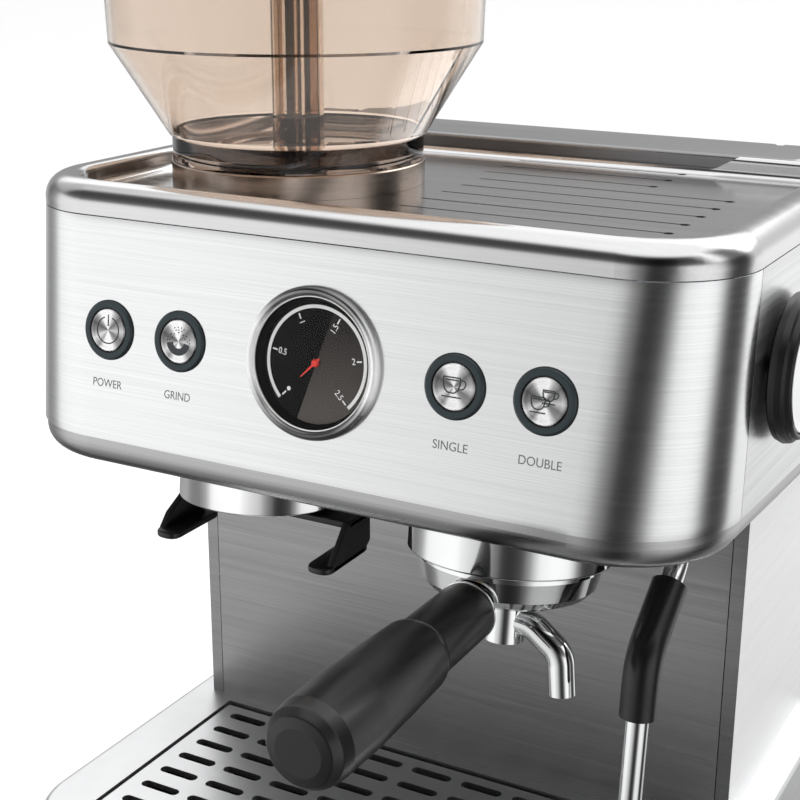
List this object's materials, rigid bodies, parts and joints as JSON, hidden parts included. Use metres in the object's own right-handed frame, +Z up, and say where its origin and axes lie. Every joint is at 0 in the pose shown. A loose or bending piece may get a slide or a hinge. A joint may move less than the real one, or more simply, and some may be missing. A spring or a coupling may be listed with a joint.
{
  "type": "espresso machine",
  "caption": "Counter-top espresso machine with a built-in bean grinder, hopper, portafilter, steam wand, pressure gauge, push buttons, water tank and drip tray.",
  "frame": {"origin": "middle of the whole machine's box in plan, on the counter under the feet", "axes": "+Z up, -Y towards the user, +X to the user's right"},
  "size_m": [0.311, 0.3576, 0.4275],
  "materials": {
    "brushed_steel": "fine horizontal brushing",
    "cover_steel": "satin, soft reflections",
    "dark_steel": "darker brushed",
    "inner_steel": "plain zinc",
    "chrome": "polished",
    "button_cap": "spun",
    "button_ring": "satin dark teal grey",
    "smoked_plastic": "clear smoked brown",
    "bronze_ring": "metallic brown",
    "black_plastic": "satin",
    "black_rubber": "matte",
    "lid_plastic": "satin grey",
    "tank_plastic": "dark translucent",
    "gauge_face": "black dial",
    "gauge_glass": "clear",
    "needle_red": "gloss",
    "stainless": "satin",
    "brass": "machined",
    "burr_steel": "ground",
    "cast_aluminium": "cast",
    "motor_steel": "plain",
    "board": "green laminate"
  },
  "bodies": {
    "frame": {"backsplash_panel": "dark_steel", "base_floor": "inner_steel", "base_shell": "brushed_steel", "boiler": "cast_aluminium", "brew_head": "brass", "button_rings": "button_ring", "case_screws": "stainless", "circuit_boards": "board", "feet": "black_rubber", "gauge_bezel": "chrome", "gauge_dial": "gauge_face", "gauge_glass": "gauge_glass", "grinder_chute": "black_plastic", "grinder_housing": "cast_aluminium", "grinder_motor": "motor_steel", "grinder_outlet_ring": "chrome", "group_collar": "chrome", "group_gasket": "black_rubber", "head_bottom_pan": "dark_steel", "head_front_panel": "brushed_steel", "head_side_left": "brushed_steel", "head_side_right": "brushed_steel", "hopper_collar": "bronze_ring", "portafilter_fork": "black_plastic", "power_inlet": "black_plastic", "pump": "motor_steel", "shower_screen": "stainless", "shower_screw": "stainless", "side_panel_left": "brushed_steel", "side_panel_right": "brushed_steel", "steam_valve": "brass", "tank_bay_wall": "inner_steel", "tank_socket": "tank_plastic", "top_cover": "cover_steel", "wand_nut": "chrome"},
    "power_button": {"power_button": "button_cap"},
    "grind_button": {"grind_button": "button_cap"},
    "single_button": {"single_button": "button_cap"},
    "double_button": {"double_button": "button_cap"},
    "needle": {"gauge_needle": "needle_red"},
    "knob": {"steam_knob": "black_plastic", "knob_cap": "chrome"},
    "wand": {"steam_wand": "chrome", "wand_grip": "black_rubber", "steam_tip": "chrome"},
    "portafilter": {"portafilter_body": "chrome", "filter_basket": "stainless", "portafilter_spout": "chrome", "portafilter_handle": "black_plastic"},
    "hopper": {"bean_hopper": "smoked_plastic", "upper_burr": "burr_steel"},
    "gate": {"hopper_gate": "smoked_plastic"},
    "hopper_lid": {"hopper_lid": "smoked_plastic"},
    "burr": {"lower_burr": "burr_steel"},
    "tank": {"water_tank": "tank_plastic", "tank_valve": "tank_plastic"},
    "tank_lid": {"tank_lid": "lid_plastic"},
    "drip": {"drip_tray": "black_plastic", "drip_tray_front": "brushed_steel"},
    "grid": {"drip_grid": "brushed_steel"}
  },
  "joints": [
    {"name": "power_press", "type": "slide", "parent": "frame", "child": "power_button", "axis": [0, 0.9878, -0.1556], "range_m": [0, 0.002], "stiffness_N_per_m": 500, "springref_m": -0.0002},
    {"name": "grind_press", "type": "slide", "parent": "frame", "child": "grind_button", "axis": [0, 0.9878, -0.1556], "range_m": [0, 0.002], "stiffness_N_per_m": 500, "springref_m": -0.0002},
    {"name": "single_press", "type": "slide", "parent": "frame", "child": "single_button", "axis": [0, 0.9878, -0.1556], "range_m": [0, 0.002], "stiffness_N_per_m": 500, "springref_m": -0.0002},
    {"name": "double_press", "type": "slide", "parent": "frame", "child": "double_button", "axis": [0, 0.9878, -0.1556], "range_m": [0, 0.002], "stiffness_N_per_m": 500, "springref_m": -0.0002},
    {"name": "gauge_sweep", "type": "hinge", "parent": "frame", "child": "needle", "pos_m": [-0.0055, -0.07363, 0.27693], "axis": [0, 0.9878, -0.1556], "range_deg": [0, 270], "stiffness_Nm_per_rad": 0.0001},
    {"name": "steam_turn", "type": "hinge", "parent": "frame", "child": "knob", "pos_m": [0.1445, 0.00515, 0.278], "axis": [1, 0, 0], "range_deg": [0, 270]},
    {"name": "wand_swing", "type": "hinge", "parent": "frame", "child": "wand", "pos_m": [0.1125, 0.00115, 0.21019], "axis": [0, 0, 1], "range_deg": [-8, 75]},
    {"name": "portafilter_turn", "type": "hinge", "parent": "frame", "child": "portafilter", "pos_m": [0.053, -0.02485, 0.1978], "axis": [0, 0.1219, 0.9925], "range_deg": [-45, 0]},
    {"name": "grind_adjust", "type": "hinge", "parent": "frame", "child": "hopper", "pos_m": [-0.075, 0.02715, 0.32], "axis": [0, 0, 1], "range_deg": [-90, 90]},
    {"name": "gate_turn", "type": "hinge", "parent": "hopper", "child": "gate", "pos_m": [-0.075, 0.02715, 0.32], "axis": [0, 0, 1], "range_deg": [0, 90]},
    {"name": "hopper_lid_lift", "type": "slide", "parent": "hopper", "child": "hopper_lid", "axis": [0, 0, 1], "range_m": [0, 0.06]},
    {"name": "burr_spin", "type": "hinge", "parent": "frame", "child": "burr", "pos_m": [-0.075, 0.02715, 0.32], "axis": [0, 0, 1], "continuous": true},
    {"name": "tank_lift", "type": "slide", "parent": "frame", "child": "tank", "axis": [0, 0, 1], "range_m": [0, 0.2]},
    {"name": "tank_lid_swing", "type": "hinge", "parent": "tank", "child": "tank_lid", "pos_m": [-0.0055, 0.1729, 0.32875], "axis": [-1, 0, 0], "range_deg": [0, 95]},
    {"name": "drip_tray_slide", "type": "slide", "parent": "frame", "child": "drip", "axis": [0, -1, 0], "range_m": [0, 0.12]},
    {"name": "drip_grid_lift", "type": "slide", "parent": "drip", "child": "grid", "axis": [0, 0, 1], "range_m": [0, 0.025]}
  ]
}
